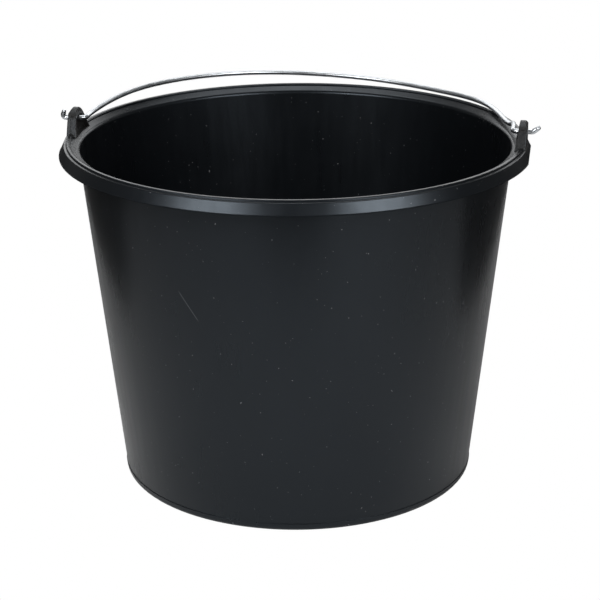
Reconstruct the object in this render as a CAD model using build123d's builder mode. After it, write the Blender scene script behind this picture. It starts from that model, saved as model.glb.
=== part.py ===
"""Florist's bucket: one moulded plastic body with two ears, and a loose wire bail.

The frame is +Z up, with the origin on the floor at the middle of the base. The bail hinges
about X, and it lies folded back on the rim, towards +Y.
"""
from build123d import *
import os
from math import cos, radians, sin, tan

os.makedirs("parts", exist_ok=True)

# Body, millimetres. The wall is a cone, and its radii are given at the outer face.
RIM_Z = 238.0
SKIRT_Z = 229.0
WALL_RADIUS_AT_FLOOR = 122.2
WALL_RADIUS_AT_SKIRT = 147.0
WALL_SLOPE = (WALL_RADIUS_AT_SKIRT - WALL_RADIUS_AT_FLOOR) / SKIRT_Z
WALL_AT_SKIRT = 1.4
WALL_AT_BASE = 2.0

# Foot ring: a low band, a little proud of the wall, round a base that is raised off the floor
FOOT_HEIGHT = 5.6
FOOT_PROUD = 0.4
FOOT_ROUND = 3.3
FOOT_INNER_RADIUS = 116.8
FOOT_INNER_SLOPE = 1.5
BASE_UNDERSIDE_Z = 5.0
BASE_TOP_Z = 7.2
BASE_CORNER_ROUND = 4.0

# Rolled rim: a narrow crest bead with a groove and a shoulder round it, a flare down to the wall
# inside and a sloping skirt outside, which ends in a fine moulding line
CREST_RADIUS = 154.2
CREST_HALF_WIDTH = 1.0
CREST_UNDERSIDE_Z = 235.6
CREST_UNDERSIDE_RADII = (153.6, 154.4)
MOUTH_UPPER_EDGE = (152.3, 237.3)
MOUTH_LOWER_EDGE = (152.2, 236.5)
GROOVE = (155.6, 236.7)
SHOULDER = (156.9, 236.4)
SHOULDER_ROUND = 0.7
SKIRT_RADIUS = 160.1
MOULDING_LINE = 0.35
SKIRT_THICKNESS = 2.1
FLARE_BOTTOM_Z = 233.6
INNER_FLARE_ROUND = 3.0
FLARE_ROUND = 5.0
RIM_EDGE_ROUND = 0.5

# Ears: two curved plates that stand on the rim at the ends of the hinge axis. In each pair of
# outline values the first is half a width along the rim, and the second is a height.
HINGE_Z = 245.2
EAR_TOP_Z = 252.6
EAR_NECK = (11.0, 246.2)
EAR_TOE = (18.2, 234.6)
EAR_ROOT_Z = 230.0
EAR_EDGE_ROUND = 0.7
EAR_STOCK_TOP_Z = 254.0
EAR_LEAN_Z = 249.6
EAR_LEAN = 2.6
EAR_INNER_RADIUS_LOW = 149.2
EAR_INNER_RADIUS_HIGH = 151.8
EAR_OUTER_RADIUS = 156.9
EAR_INNER_ROOT_Z = 233.0
EAR_CREST_ROOT_Z = 236.6
EAR_OUTER_ROOT_Z = 234.0

# Recess on the ear's inner side, round the wire hole, and the shallow channel along its edge
RECESS_FACE_RADIUS = 152.6
RECESS_TOP_Z = 247.9
RECESS_SHOULDER = (9.2, 245.0)
RECESS_FOOT = (15.4, 235.6)
CHANNEL_INNER_RADIUS = 150.9
CHANNEL_OUTER_RADIUS = 154.5
CHANNEL_TOP_Z = 248.6
CHANNEL_DEPTH = 0.5
HOLE_CLEARANCE = 0.3

# Flats that trim the skirt outside the ears
PAD_FACE = 158.6
PAD_WIDTH = 60.0
PAD_DEPTH = 4.2

# Bail: wire, folded back on the rim. Its outline is half of the arch, as a distance from the
# middle and a distance from the hinge axis. The arch droops a little, and it is slightly twisted,
# so only its right-hand half touches the crest of the rim.
WIRE_RADIUS = 1.75
BAIL_DROOP = 0.9
BAIL_TWIST = 2.4
BAIL_REACH = 163.5
BAIL_LEG = 146.8
LEG_BEND = 4.0
LEG_START = 6.0
BAIL_OUTLINE = [
    (144.6, 26.0),
    (127.2, 85.7),
    (87.0, 133.3),
    (40.0, 158.0),
]
EAR_MIDDLE = 155.0

# Wire ends, which are bent up outside the ears. Each end has the place of its corner on the hinge
# axis and a lean away from the ear, and each section has a reach from the corner and two half widths.
TIPS = {-1: (162.8, -15.0), 1: (160.2, 54.0)}
TIP_BEND = 1.85
TIP_NECK = 2.5
TIP_SECTIONS = [
    (TIP_NECK, WIRE_RADIUS, WIRE_RADIUS),
    (3.6, 1.95, 1.6),
    (4.8, 2.0, 1.4),
    (5.6, 1.5, 1.0),
]


def wall_outer(z):
    """Outer radius of the tapering wall at height z."""
    return WALL_RADIUS_AT_FLOOR + WALL_SLOPE * z


def wall_inner(z):
    """Inner radius of the wall at height z. The wall gets thinner towards the skirt."""
    return wall_outer(z) - WALL_AT_BASE + (WALL_AT_BASE - WALL_AT_SKIRT) * z / SKIRT_Z


def bail_point(across, reach):
    """A point of the bail as it lies folded back, with its droop and its twist."""
    droop = BAIL_DROOP + BAIL_TWIST * across / BAIL_LEG
    return (across, reach, HINGE_Z - reach * tan(radians(droop)))


def corner(sketch, x, y):
    """The vertex of a sketch that is nearest to a point."""
    return sketch.vertices().sort_by_distance((x, y))[0]


# Ear outline, seen along the hinge axis
with BuildSketch(Plane.YZ) as ear_outline:
    with BuildLine():
        Polyline(EAR_NECK, EAR_TOE, (EAR_TOE[0], EAR_ROOT_Z))
        mirror(about=Plane.YZ)
        Line((-EAR_TOE[0], EAR_ROOT_Z), (EAR_TOE[0], EAR_ROOT_Z))
        ThreePointArc(EAR_NECK, (0, EAR_TOP_Z), (-EAR_NECK[0], EAR_NECK[1]))
    make_face()

with BuildPart() as recess:
    with BuildSketch(Plane.YZ):
        with BuildLine():
            Polyline(
                (-RECESS_SHOULDER[0], RECESS_SHOULDER[1]), (-RECESS_FOOT[0], RECESS_FOOT[1]),
                RECESS_FOOT, RECESS_SHOULDER,
            )
            ThreePointArc(
                RECESS_SHOULDER, (0, RECESS_TOP_Z), (-RECESS_SHOULDER[0], RECESS_SHOULDER[1])
            )
        make_face()
    extrude(amount=SKIRT_RADIUS, both=True)
    Cylinder(RECESS_FACE_RADIUS, 2 * EAR_STOCK_TOP_Z, mode=Mode.INTERSECT)

with BuildPart() as edge_channels:
    with BuildSketch(Plane.YZ):
        add(ear_outline.sketch_local)
        offset(ear_outline.sketch_local, amount=-CHANNEL_DEPTH, mode=Mode.SUBTRACT)
        Rectangle(2 * EAR_TOE[0], 2 * CHANNEL_TOP_Z, mode=Mode.INTERSECT)
    extrude(amount=SKIRT_RADIUS, both=True)
    with BuildSketch():
        Circle(CHANNEL_OUTER_RADIUS)
        Circle(CHANNEL_INNER_RADIUS, mode=Mode.SUBTRACT)
    extrude(amount=EAR_STOCK_TOP_Z, mode=Mode.INTERSECT)

with BuildPart() as ears:
    with BuildSketch(Plane.XZ):
        with BuildLine():
            Polyline(
                (EAR_INNER_RADIUS_LOW, EAR_INNER_ROOT_Z), (CREST_RADIUS, EAR_CREST_ROOT_Z),
                (EAR_OUTER_RADIUS, EAR_OUTER_ROOT_Z), (EAR_OUTER_RADIUS, EAR_LEAN_Z),
                (EAR_OUTER_RADIUS - EAR_LEAN, EAR_STOCK_TOP_Z),
                (EAR_INNER_RADIUS_HIGH, EAR_STOCK_TOP_Z), close=True,
            )
        make_face()
    revolve(axis=Axis.Z)
    with BuildSketch(Plane.YZ):
        add(ear_outline.sketch_local)
    extrude(amount=SKIRT_RADIUS, both=True, mode=Mode.INTERSECT)
    outline_edges = ears.edges().filter_by(GeomType.LINE, reverse=True)
    fillet(outline_edges.filter_by_position(Axis.Z, RIM_Z, EAR_STOCK_TOP_Z), EAR_EDGE_ROUND)
    add(edge_channels.part, mode=Mode.SUBTRACT)

with BuildPart() as bucket:
    with BuildSketch(Plane.XZ) as section:
        with BuildLine():
            Polyline(
                (0, BASE_UNDERSIDE_Z),
                (FOOT_INNER_RADIUS - FOOT_INNER_SLOPE, BASE_UNDERSIDE_Z),
                (FOOT_INNER_RADIUS, 0),
                (wall_outer(0) + FOOT_PROUD, 0),
                (wall_outer(FOOT_HEIGHT) + FOOT_PROUD, FOOT_HEIGHT - FOOT_PROUD),
                (wall_outer(FOOT_HEIGHT), FOOT_HEIGHT),
                (wall_outer(SKIRT_Z), SKIRT_Z),
                (CREST_UNDERSIDE_RADII[0], CREST_UNDERSIDE_Z),
                (CREST_UNDERSIDE_RADII[1], CREST_UNDERSIDE_Z),
                (SKIRT_RADIUS - SKIRT_THICKNESS, SKIRT_Z),
                (SKIRT_RADIUS + MOULDING_LINE, SKIRT_Z),
                (SKIRT_RADIUS + MOULDING_LINE, SKIRT_Z + MOULDING_LINE),
                (SKIRT_RADIUS, SKIRT_Z + 2 * MOULDING_LINE),
                SHOULDER,
                GROOVE,
                (CREST_RADIUS + CREST_HALF_WIDTH, RIM_Z),
                (CREST_RADIUS - CREST_HALF_WIDTH, RIM_Z),
                MOUTH_UPPER_EDGE,
                MOUTH_LOWER_EDGE,
                (wall_inner(FLARE_BOTTOM_Z), FLARE_BOTTOM_Z),
                (wall_inner(BASE_TOP_Z), BASE_TOP_Z),
                (0, BASE_TOP_Z),
                close=True,
            )
        make_face()
        fillet(corner(section, wall_outer(0) + FOOT_PROUD, 0), FOOT_ROUND)
        fillet(corner(section, wall_inner(BASE_TOP_Z), BASE_TOP_Z), BASE_CORNER_ROUND)
        fillet(corner(section, wall_inner(FLARE_BOTTOM_Z), FLARE_BOTTOM_Z), INNER_FLARE_ROUND)
        fillet(corner(section, wall_outer(SKIRT_Z), SKIRT_Z), FLARE_ROUND)
        fillet(corner(section, *SHOULDER), SHOULDER_ROUND)
        fillet(corner(section, CREST_RADIUS + CREST_HALF_WIDTH, RIM_Z), RIM_EDGE_ROUND)
        fillet(corner(section, CREST_RADIUS - CREST_HALF_WIDTH, RIM_Z), RIM_EDGE_ROUND)
    revolve(axis=Axis.Z)
    add(ears.part)
    add(recess.part, mode=Mode.SUBTRACT)
    for side in (1, -1):
        with BuildSketch(Plane.YZ.offset(side * PAD_FACE)):
            with Locations((0, SKIRT_Z)):
                Rectangle(PAD_WIDTH, 2 * (RIM_Z - SKIRT_Z))
        extrude(amount=side * PAD_DEPTH, mode=Mode.SUBTRACT)
    with BuildSketch(Plane.YZ):
        with Locations((0, HINGE_Z)):
            Circle(WIRE_RADIUS + HOLE_CLEARANCE)
    extrude(amount=SKIRT_RADIUS, both=True, mode=Mode.SUBTRACT)
bucket.part.label = "bucket"
export_step(bucket.part, "parts/bucket.step")

with BuildPart() as bail:
    left_half = [bail_point(-across, reach) for across, reach in BAIL_OUTLINE]
    right_half = [bail_point(across, reach) for across, reach in reversed(BAIL_OUTLINE)]
    with BuildLine() as arch:
        FilletPolyline(
            (-EAR_MIDDLE, 0, HINGE_Z), (-BAIL_LEG, 0, HINGE_Z), (-BAIL_LEG, LEG_START, HINGE_Z),
            radius=LEG_BEND,
        )
        Spline(
            (-BAIL_LEG, LEG_START, HINGE_Z), *left_half, bail_point(0, BAIL_REACH), *right_half,
            (BAIL_LEG, LEG_START, HINGE_Z), tangents=[(0, 1, 0), (0, -1, 0)],
        )
        FilletPolyline(
            (BAIL_LEG, LEG_START, HINGE_Z), (BAIL_LEG, 0, HINGE_Z), (EAR_MIDDLE, 0, HINGE_Z),
            radius=LEG_BEND,
        )
    with BuildSketch(Plane.YZ.offset(-EAR_MIDDLE)):
        with Locations((0, HINGE_Z)):
            Circle(WIRE_RADIUS)
    sweep(path=arch.wire())
    for side, (corner_x, lean) in TIPS.items():
        outward, up = side * sin(radians(lean)), cos(radians(lean))
        with BuildLine(Plane.XZ) as end_bend:
            FilletPolyline(
                (side * EAR_MIDDLE, HINGE_Z), (side * corner_x, HINGE_Z),
                (side * corner_x + outward * TIP_NECK, HINGE_Z + up * TIP_NECK),
                radius=TIP_BEND,
            )
        with BuildSketch(Plane.YZ.offset(side * EAR_MIDDLE)):
            with Locations((0, HINGE_Z)):
                Circle(WIRE_RADIUS)
        sweep(path=end_bend.wire())
        for reach, half_width, half_thickness in TIP_SECTIONS:
            middle = (side * corner_x + outward * reach, 0, HINGE_Z + up * reach)
            with BuildSketch(Plane(origin=middle, x_dir=(0, 1, 0), z_dir=(outward, 0, up))):
                Ellipse(half_width, half_thickness)
        loft()
bail.part.label = "bail"
export_step(bail.part, "parts/bail.step")
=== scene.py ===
from math import cos, radians, sin

import bpy
from mathutils import Matrix, Vector

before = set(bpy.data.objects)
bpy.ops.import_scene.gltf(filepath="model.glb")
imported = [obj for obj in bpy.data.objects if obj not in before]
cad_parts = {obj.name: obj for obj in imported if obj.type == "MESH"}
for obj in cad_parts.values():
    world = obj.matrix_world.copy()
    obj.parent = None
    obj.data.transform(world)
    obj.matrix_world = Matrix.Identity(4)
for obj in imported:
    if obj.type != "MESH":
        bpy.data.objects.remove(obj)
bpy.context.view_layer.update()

scene = bpy.context.scene

# ---------------------------------------------------------------- camera

# Where the camera stands, in metres, and how it is turned, in degrees
CAMERA_AT = Vector((0.1878, -1.2129, 0.5590))
CAMERA_YAW = -8.698
CAMERA_PITCH = 19.742
CAMERA_ROLL = -0.402
LENS = 111.47
SENSOR = 36.0


def aim(obj, yaw, pitch, roll):
    """Turns an object to look along a heading from +Y, a dip below the horizon and a roll."""
    yaw, pitch, roll = radians(yaw), radians(pitch), radians(roll)
    ahead = Vector((sin(yaw) * cos(pitch), cos(yaw) * cos(pitch), -sin(pitch)))
    level = Vector((cos(yaw), -sin(yaw), 0))
    above = level.cross(ahead)
    right = cos(roll) * level + sin(roll) * above
    up = cos(roll) * above - sin(roll) * level
    turn = Matrix((right, up, -ahead)).transposed()
    obj.rotation_euler = turn.to_euler()


camera = bpy.data.objects.new("camera", bpy.data.cameras.new("camera"))
scene.collection.objects.link(camera)
camera.location = CAMERA_AT
camera.data.lens = LENS
camera.data.sensor_width = SENSOR
camera.data.clip_start = 0.05
camera.data.clip_end = 30
aim(camera, CAMERA_YAW, CAMERA_PITCH, CAMERA_ROLL)
scene.camera = camera

# ---------------------------------------------------------------- materials

# The fine scratch on the wall's front, in metres and radians: its middle, its lean from upright,
# half its length, where its edge starts and ends to fade, and how deep behind it it still counts
SCRATCH_MIDDLE = (-0.0493, -0.1303, 0.1582)
SCRATCH_TURN = -0.603
SCRATCH_HALF = 0.0125
SCRATCH_EDGE = (0.0001, 0.0003)
SCRATCH_DEPTH = 0.05

# The ears in metres: the heights between which they start, and the distances from the hinge axis
# between which they end
EAR_START_Z = (0.2345, 0.2360)
EAR_END_Y = (0.0180, 0.0190)
EAR_EXTRA_ROUGHNESS = 0.16

# Each tone varies between two colours; dust and the scratch have one
PLASTIC_TONES = ((0.0022, 0.0026, 0.0032, 1), (0.0034, 0.0039, 0.0048, 1))
EAR_TONES = ((0.011, 0.010, 0.009, 1), (0.026, 0.024, 0.022, 1))
WIRE_TONES = ((0.58, 0.61, 0.64, 1), (0.72, 0.75, 0.78, 1))
DUST_TONE = (0.16, 0.16, 0.17, 1)
SCRATCH_TONE = (0.07, 0.073, 0.08, 1)
PLASTIC_GLOSS_TINT = (0.76, 0.88, 1.0, 1)
PLASTIC_IOR = 1.49
PLASTIC_GLOSS = 0.37


class Shader:
    """A node material under construction. Most calls add a node and return its output."""

    def __init__(self, name):
        self.material = bpy.data.materials.new(name)
        self.material.use_nodes = True
        self.tree = self.material.node_tree
        self.bsdf = self.tree.nodes["Principled BSDF"]

    def put(self, socket, value):
        """Links another node's output to a socket, or sets the socket's own value."""
        if isinstance(value, bpy.types.NodeSocket):
            self.tree.links.new(value, socket)
        else:
            socket.default_value = value

    def node(self, kind, output=0, settings=(), **inputs):
        """A node with its settings and its inputs by name, where _ stands for a space."""
        made = self.tree.nodes.new(kind)
        for key, value in dict(settings).items():
            setattr(made, key, value)
        for key, value in inputs.items():
            self.put(made.inputs[key.replace("_", " ")], value)
        return made.outputs[output]

    def part_of(self, where, axis):
        """One coordinate of where: "X", "Y" or "Z"."""
        return self.node("ShaderNodeSeparateXYZ", axis, Vector=where)

    def noise(self, where, scale, detail, roughness):
        """Cloudy noise around 0.5, with scale features to each unit of where."""
        return self.node("ShaderNodeTexNoise", Vector=where, Scale=scale, Detail=detail,
                         Roughness=roughness)

    def ramp(self, value, low, high, to_low=0.0, to_high=1.0):
        """value, mapped smoothly from low..high to to_low..to_high and clamped."""
        made = self.tree.nodes.new("ShaderNodeMapRange")
        made.interpolation_type = "SMOOTHSTEP"
        for index, entry in enumerate((value, low, high, to_low, to_high)):
            self.put(made.inputs[index], entry)
        return made.outputs[0]

    def math(self, operation, a, b=0.0):
        """A sum, product or other operation on one or two numbers."""
        made = self.tree.nodes.new("ShaderNodeMath")
        made.operation = operation
        self.put(made.inputs[0], a)
        self.put(made.inputs[1], b)
        return made.outputs[0]

    def mix(self, factor, a, b):
        """A colour between a and b; the node's colour sockets are inputs 6 and 7 and output 2."""
        made = self.tree.nodes.new("ShaderNodeMix")
        made.data_type = "RGBA"
        self.put(made.inputs[0], factor)
        self.put(made.inputs[6], a)
        self.put(made.inputs[7], b)
        return made.outputs[2]

    def scratch(self, where):
        """1 on the fine scratch across the wall's front, 0 elsewhere."""
        turned = self.node("ShaderNodeMapping", 0, {"vector_type": "TEXTURE"}, Vector=where,
                           Location=SCRATCH_MIDDLE, Rotation=(0, SCRATCH_TURN, 0))
        across = self.math("ABSOLUTE", self.part_of(turned, "X"))
        along = self.math("ABSOLUTE", self.part_of(turned, "Z"))
        line = self.math("MULTIPLY", self.ramp(across, *SCRATCH_EDGE, 1.0, 0.0),
                         self.ramp(along, 0.7 * SCRATCH_HALF, SCRATCH_HALF, 1.0, 0.0))
        return self.math("MULTIPLY", line,
                         self.math("LESS_THAN", self.part_of(turned, "Y"), SCRATCH_DEPTH))


def moulded_plastic():
    """Charcoal polypropylene: faint clouds and streaks, fine grain, dust and one scratch.

    The ears are greyer and rougher than the rest.
    """
    s = Shader("moulded_plastic")
    where = s.node("ShaderNodeTexCoord", "Object")
    cloud = s.noise(where, 9.0, 4.0, 0.55)
    grain = s.noise(where, 900.0, 2.0, 0.5)
    stretched = s.node("ShaderNodeMapping", Vector=where, Scale=(60.0, 60.0, 2.0))
    streaks = s.noise(stretched, 3.0, 3.0, 0.5)
    body = s.mix(s.ramp(cloud, 0.3, 0.7), *PLASTIC_TONES)
    from_axis = s.math("ABSOLUTE", s.part_of(where, "Y"))
    on_ear = s.math("MULTIPLY", s.ramp(s.part_of(where, "Z"), *EAR_START_Z),
                    s.ramp(from_axis, *EAR_END_Y, 1.0, 0.0))
    # The ears get a greyer, warmer tone, mottled by the grain
    grey_ear_tone = s.mix(s.ramp(grain, 0.35, 0.65), *EAR_TONES)
    base = s.mix(on_ear, body, grey_ear_tone)
    dust = s.noise(where, 620.0, 1.0, 0.4)
    base = s.mix(s.ramp(dust, 0.77, 0.81), base, DUST_TONE)
    s.put(s.bsdf.inputs["Base Color"], s.mix(s.scratch(where), base, SCRATCH_TONE))
    roughness = s.math("ADD", s.ramp(cloud, 0.25, 0.75, 0.25, 0.31),
                       s.ramp(streaks, 0.3, 0.7, 0.0, 0.04))
    rougher = s.math("MULTIPLY", on_ear, EAR_EXTRA_ROUGHNESS)
    s.put(s.bsdf.inputs["Roughness"], s.math("ADD", roughness, rougher))
    s.bsdf.inputs["IOR"].default_value = PLASTIC_IOR
    s.bsdf.inputs["Specular IOR Level"].default_value = PLASTIC_GLOSS
    s.bsdf.inputs["Specular Tint"].default_value = PLASTIC_GLOSS_TINT
    bump = s.node("ShaderNodeBump", Height=grain, Distance=0.00001, Strength=0.4)
    s.put(s.bsdf.inputs["Normal"], bump)
    return s.material


def galvanised_wire():
    """Zinc-coated steel wire: dull silver with greyer patches."""
    s = Shader("galvanised_wire")
    where = s.node("ShaderNodeTexCoord", "Object")
    patches = s.noise(where, 90.0, 3.0, 0.5)
    s.put(s.bsdf.inputs["Base Color"], s.mix(s.ramp(patches, 0.3, 0.7), *WIRE_TONES))
    s.bsdf.inputs["Metallic"].default_value = 1.0
    s.put(s.bsdf.inputs["Roughness"], s.ramp(patches, 0.3, 0.7, 0.29, 0.34))
    return s.material


def dress(obj, material):
    """Gives every face of an object one material."""
    obj.data.materials.clear()
    obj.data.materials.append(material)


dress(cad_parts["bucket"], moulded_plastic())
dress(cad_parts["bail"], galvanised_wire())

# ---------------------------------------------------------------- floor and light


def flat(name, corners):
    """A flat mesh of one face."""
    mesh = bpy.data.meshes.new(name)
    mesh.from_pydata(corners, [], [range(len(corners))])
    made = bpy.data.objects.new(name, mesh)
    scene.collection.objects.link(made)
    return made


def painted_light_floor(name, tone):
    """Matt floor card whose tone is painted light or painted shade for the bucket to mirror; the
    camera sees it as clean white, whatever light falls on it.
    """
    s = Shader(name)
    s.bsdf.inputs["Base Color"].default_value = (tone, tone, tone, 1)
    s.bsdf.inputs["Roughness"].default_value = 0.9
    blend = s.tree.nodes.new("ShaderNodeMixShader")
    s.put(blend.inputs[0], s.node("ShaderNodeLightPath", "Is Camera Ray"))
    s.put(blend.inputs[1], s.bsdf.outputs[0])
    s.put(blend.inputs[2], s.node("ShaderNodeEmission", Color=(1, 1, 1, 1)))
    s.put(s.tree.nodes["Material Output"].inputs["Surface"], blend.outputs[0])
    return s.material


def studio(right, away, up):
    """A point given along the camera's own heading: to its right, away from it, and up."""
    turn = radians(-CAMERA_YAW)
    return Vector((right * cos(turn) - away * sin(turn), right * sin(turn) + away * cos(turn), up))


# A pale sheet of painted light on a dark floor of painted shade, both seen by the camera as clean
# white. The sheet stands for where the lights fall on the floor, as the bucket mirrors it:
# it is narrower behind the bucket than in front of it, and the notch in its front edge, in line with
# the camera, is a painted shadow of the camera.
# Its corners are given in metres as studio takes them: to the right, and away
PAINTED_LIGHT_CORNERS = [
    (-0.38, 0.9), (-0.38, 0.03), (-0.7, 0.03), (-0.7, -0.9), (-0.13, -0.9), (-0.13, -0.5),
    (0.13, -0.5), (0.13, -0.9), (0.7, -0.9), (0.7, 0.0), (0.37, 0.0), (0.37, 0.9),
]
SHEET_LIFT = 0.0002
FLOOR_HALF = 12.0
FLOOR_CORNERS = [(-1, -1), (1, -1), (1, 1), (-1, 1)]
# The floor's dark tone is painted shade and the sheet's pale tone is painted light
PAINTED_SHADE_TONE = 0.06
PAINTED_LIGHT_TONE = 0.9

# A dark floor of painted shade under a pale sheet of painted light
floor = flat("floor", [(x * FLOOR_HALF, y * FLOOR_HALF, -SHEET_LIFT) for x, y in FLOOR_CORNERS])
painted_light_sheet = flat("painted_light_sheet", [studio(x, y, 0) for x, y in PAINTED_LIGHT_CORNERS])
dress(floor, painted_light_floor("painted_shade_floor", PAINTED_SHADE_TONE))
dress(painted_light_sheet, painted_light_floor("painted_light_floor", PAINTED_LIGHT_TONE))


def softbox(name, at, target, size, power, lights=True, mirrored=True):
    """A rectangular area light, in metres and watts, that faces a point.

    lights says whether it adds diffuse light, and mirrored whether the bucket mirrors it. The
    camera never sees it.
    """
    lamp = bpy.data.objects.new(name, bpy.data.lights.new(name, "AREA"))
    lamp.data.shape = "RECTANGLE"
    lamp.data.size, lamp.data.size_y = size
    lamp.data.energy = power
    lamp.location = at
    lamp.rotation_euler = (Vector(target) - Vector(at)).to_track_quat("-Z", "Y").to_euler()
    lamp.visible_camera = False
    lamp.visible_diffuse = lights
    lamp.visible_glossy = mirrored
    scene.collection.objects.link(lamp)


# The softboxes are only mirrored, and the fills only add diffuse light
RIM_CENTRE = Vector((0, 0, 0.235))
BODY_CENTRE = Vector((0, 0, 0.1))
FRONT_SIZE = (0.6, 0.4)
FRONT_POWER = 7.6
softbox("left_softbox", studio(-0.69, -0.82, 0.78), RIM_CENTRE, FRONT_SIZE, FRONT_POWER, lights=False)
softbox("right_softbox", studio(0.68, -0.83, 0.78), RIM_CENTRE, FRONT_SIZE, FRONT_POWER, lights=False)
softbox("back_softbox", studio(0, 2.2, 1.0), RIM_CENTRE, (3.2, 0.9), 16, lights=False)
softbox("top_softbox", studio(0, 0.6, 1.6), RIM_CENTRE, (1.2, 0.7), 8, lights=False)
softbox("left_fill", (-0.125, -0.405, 0.53), BODY_CENTRE, (0.25, 0.25), 2.3, mirrored=False)
softbox("right_fill", (0.43, -0.56, 0.45), BODY_CENTRE, (0.25, 0.25), 2.2, mirrored=False)
softbox("back_fill", studio(0.12, 0.8, 0.6), BODY_CENTRE, (0.4, 0.25), 1.8, mirrored=False)

# The room is dim and grey, but the camera sees it as clean white
ROOM_STRENGTH = 0.14
world = bpy.data.worlds.new("studio")
scene.world = world
world.use_nodes = True
nodes = world.node_tree.nodes
links = world.node_tree.links
room = nodes["Background"]
room.inputs["Color"].default_value = (1, 1, 1, 1)
strength = nodes.new("ShaderNodeMapRange")
strength.inputs["To Min"].default_value = ROOM_STRENGTH
links.new(nodes.new("ShaderNodeLightPath").outputs["Is Camera Ray"], strength.inputs["Value"])
links.new(strength.outputs[0], room.inputs["Strength"])
scene.view_settings.view_transform = "Standard"
